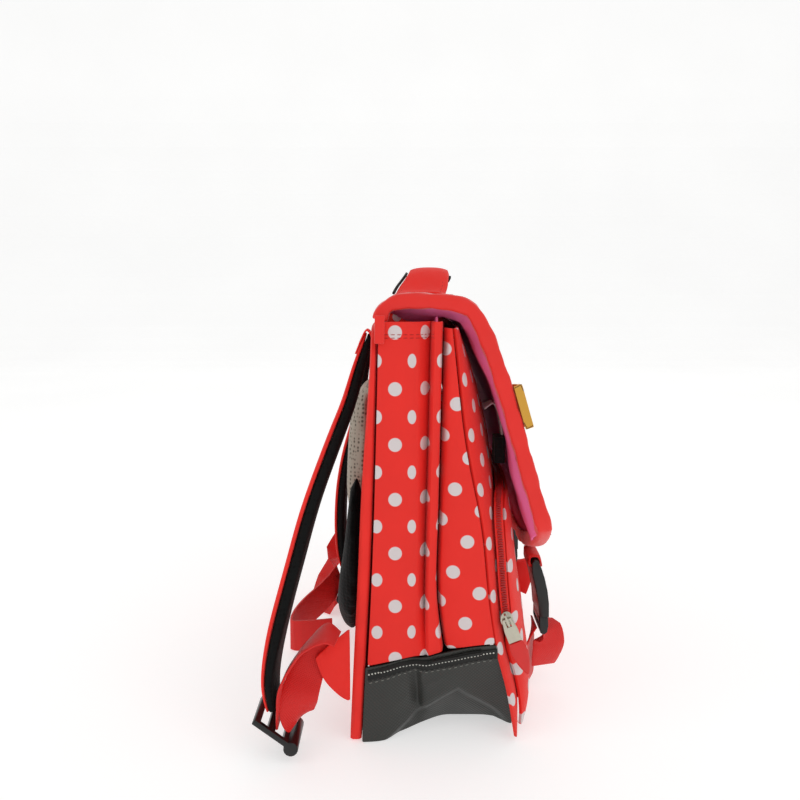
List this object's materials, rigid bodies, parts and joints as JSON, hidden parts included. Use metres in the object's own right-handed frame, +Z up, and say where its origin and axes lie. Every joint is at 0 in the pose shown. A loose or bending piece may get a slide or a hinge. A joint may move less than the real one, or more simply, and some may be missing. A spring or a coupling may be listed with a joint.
{
  "type": "school satchel",
  "caption": "Stiff-backed child's school satchel with a front flap, zipped pocket, coated base, carry handle and padded shoulder straps.",
  "frame": {"origin": "on the floor at the middle of the base", "axes": "+Z up, the flap and pocket look to -Y, the back and straps to +Y, the near side seen in the picture is -X"},
  "size_m": [0.332, 0.215, 0.307],
  "materials": {
    "red_cloth": "matte woven cloth with pale dots",
    "plain_red": "plain red webbing and binding",
    "grey_coated": "coated grey cloth",
    "pale_trim": "light stitched trim",
    "black_mesh": "spacer mesh",
    "greige_mesh": "spacer mesh",
    "pink_lining": "smooth lining",
    "label": "bare woven label",
    "ribbon": "woven ribbon",
    "black_plastic": "satin moulded plastic",
    "grey_metal": "satin",
    "red_plastic": "satin moulded plastic"
  },
  "bodies": {
    "bag": {"back_panel": "red_cloth", "upper_back_pad": "greige_mesh", "lower_back_pad": "black_mesh", "divider_panel": "red_cloth", "front_panel": "red_cloth", "bottom_boot": "grey_coated", "front_pocket": "red_cloth", "pocket_zip_tape": "plain_red", "front_piping": "plain_red", "flap_outer": "red_cloth", "flap_lining": "pink_lining", "flap_binding": "plain_red", "side_label": "label", "handle_grip": "plain_red", "handle_underpad": "black_mesh", "handle_piping": "black_mesh", "ribbon_loop": "ribbon", "ribbon_keeper": "black_plastic", "rear_gusset_left": "red_cloth", "front_gusset_left": "red_cloth", "boot_trim_left": "pale_trim", "binding_end_left": "plain_red", "strap_cover_left": "plain_red", "strap_mesh_left": "black_mesh", "strap_wing_left": "red_cloth", "strap_webbing_left": "plain_red", "strap_tail_left": "plain_red", "buckle_loop_left": "plain_red", "buckle_socket_left": "black_plastic", "buckle_plug_left": "black_plastic", "closure_webbing_left": "plain_red", "closure_tail_left": "plain_red", "ladder_lock_left": "black_plastic", "rear_gusset_right": "red_cloth", "front_gusset_right": "red_cloth", "boot_trim_right": "pale_trim", "binding_end_right": "plain_red", "strap_cover_right": "plain_red", "strap_mesh_right": "black_mesh", "strap_wing_right": "red_cloth", "strap_webbing_right": "plain_red", "strap_tail_right": "plain_red", "buckle_loop_right": "plain_red", "buckle_socket_right": "black_plastic", "buckle_plug_right": "black_plastic", "closure_webbing_right": "plain_red", "closure_tail_right": "plain_red", "ladder_lock_right": "black_plastic", "zip_slider": "grey_metal"},
    "zip_pull": {"zip_puller": "grey_metal", "zip_pull_tab": "red_plastic"}
  },
  "joints": [
    {"name": "zip_pull_hinge", "type": "hinge", "parent": "bag", "child": "zip_pull", "pos_m": [-0.14831, -0.04393, 0.082], "axis": [0, 0.9292, -0.3696], "range_deg": [0, 150]}
  ]
}
